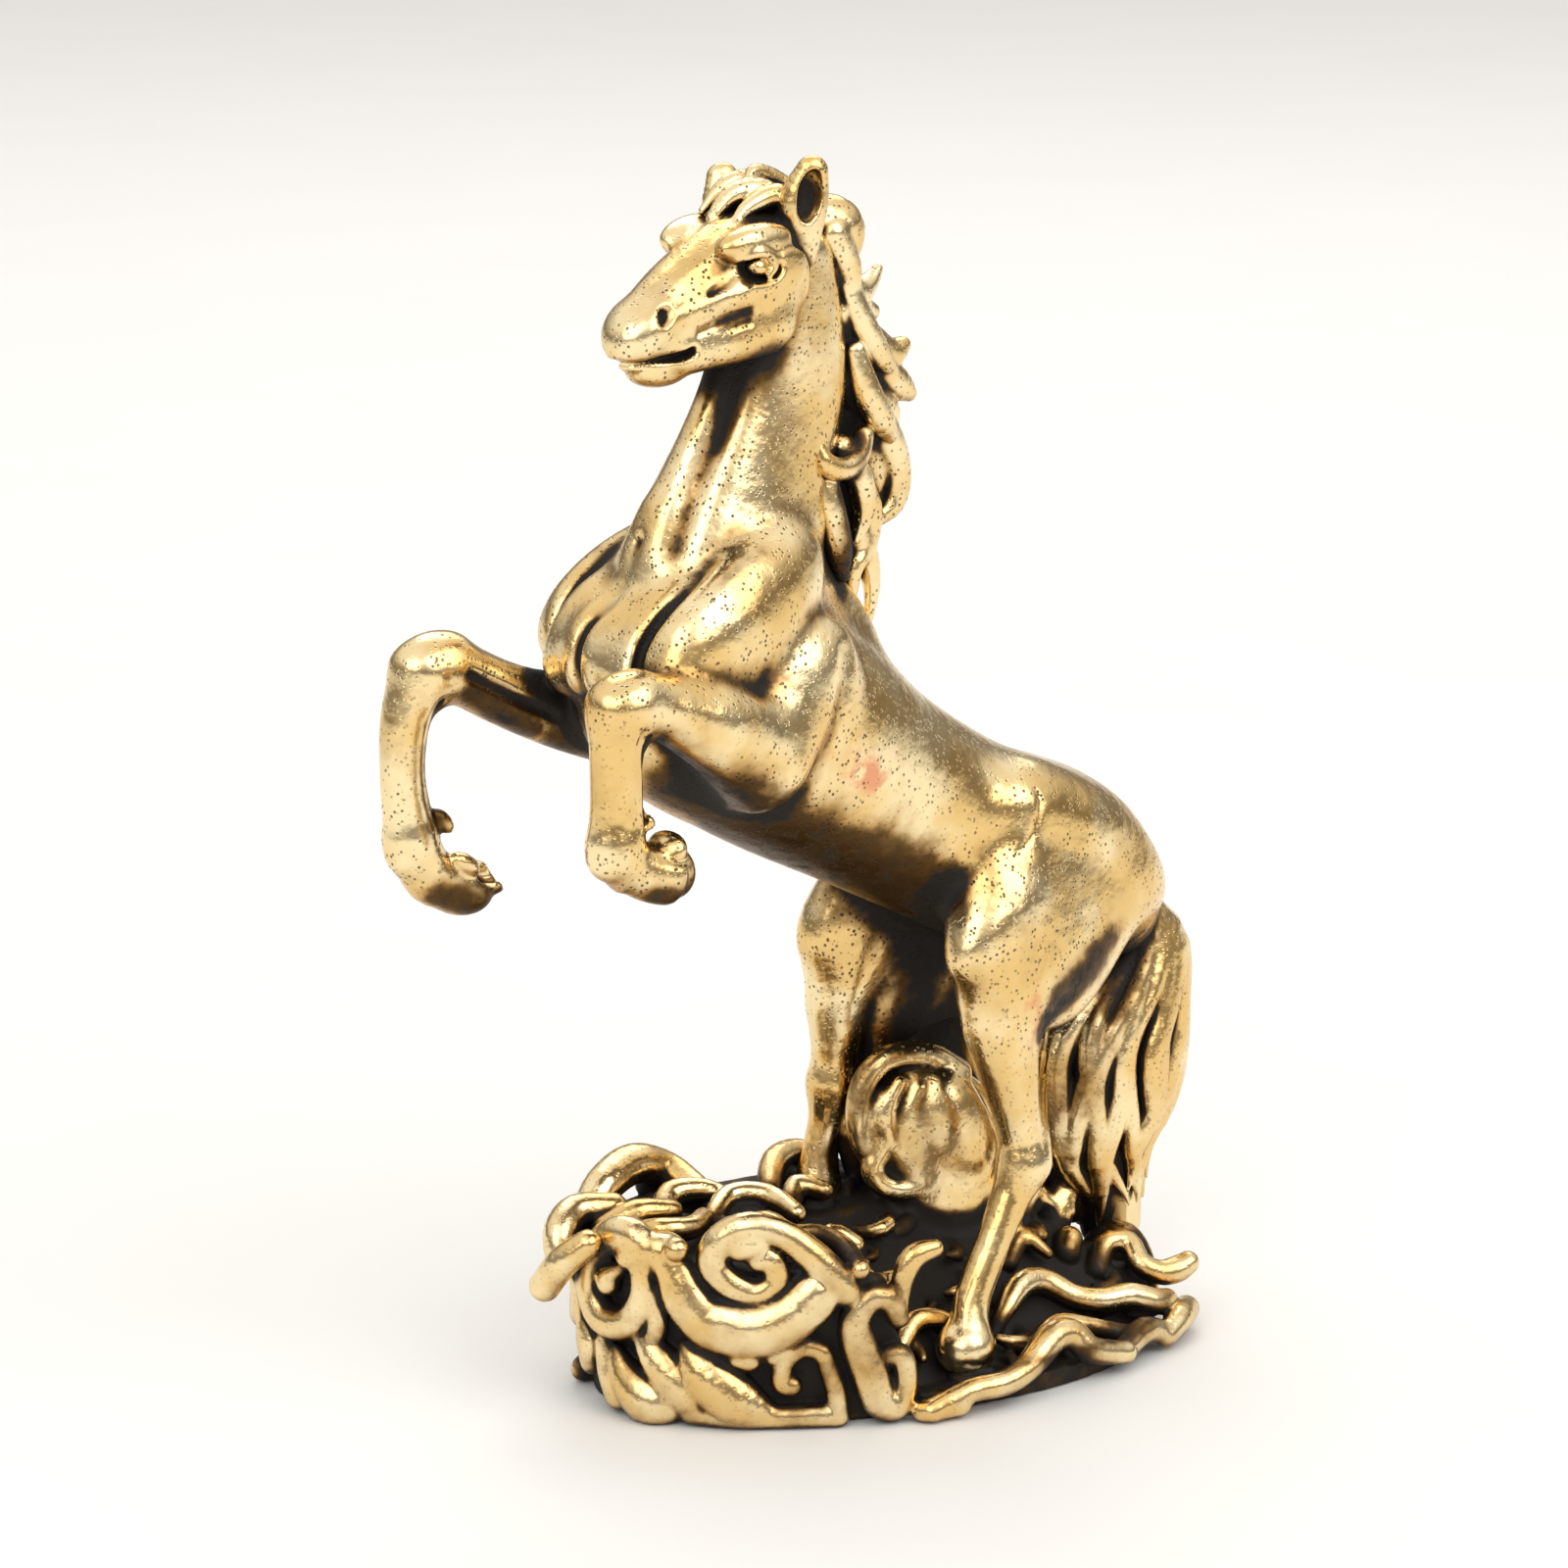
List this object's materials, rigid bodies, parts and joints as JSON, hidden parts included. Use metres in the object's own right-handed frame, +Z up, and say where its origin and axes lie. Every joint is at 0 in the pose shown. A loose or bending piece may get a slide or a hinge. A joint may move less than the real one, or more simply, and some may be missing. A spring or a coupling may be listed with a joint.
{
  "type": "rearing horse figurine",
  "caption": "Small cast brass figurine of a horse rearing on its hind legs, tail to the ground, above an oval base of scrolled clouds",
  "frame": {"origin": "centre of the oval footprint, on the flat underside of the cloud base", "axes": "+Z up; the horse faces -X and its left side faces -Y"},
  "size_m": [0.0471, 0.021, 0.0616],
  "materials": {
    "brass": "polished brass with dark patina left in every recess",
    "pin_brass": "drawn brass rod, hidden inside the castings"
  },
  "bodies": {
    "root": {"trunk": "brass", "neck": "brass", "head": "brass", "left_ear": "brass", "right_ear": "brass", "forelock": "brass", "mane": "brass", "left_foreleg": "brass", "right_foreleg": "brass", "left_hind_leg": "brass", "right_hind_leg": "brass", "tail": "brass", "cloud_base": "brass", "cloud_bank": "brass", "front_cloud_scroll": "brass", "corner_cloud_scroll": "brass", "curl_cloud_scroll": "brass", "ladle_cloud_scroll": "brass", "rear_cloud_scroll": "brass", "right_rear_cloud_scroll": "brass", "right_cloud_scroll": "brass", "right_front_cloud_scroll": "brass", "toe_cloud_scroll": "brass", "upper_cloud_wave": "brass", "lower_cloud_wave": "brass", "tail_cloud_curl": "brass", "section_dowels": "pin_brass", "base_tenons": "pin_brass"}
  },
  "joints": []
}
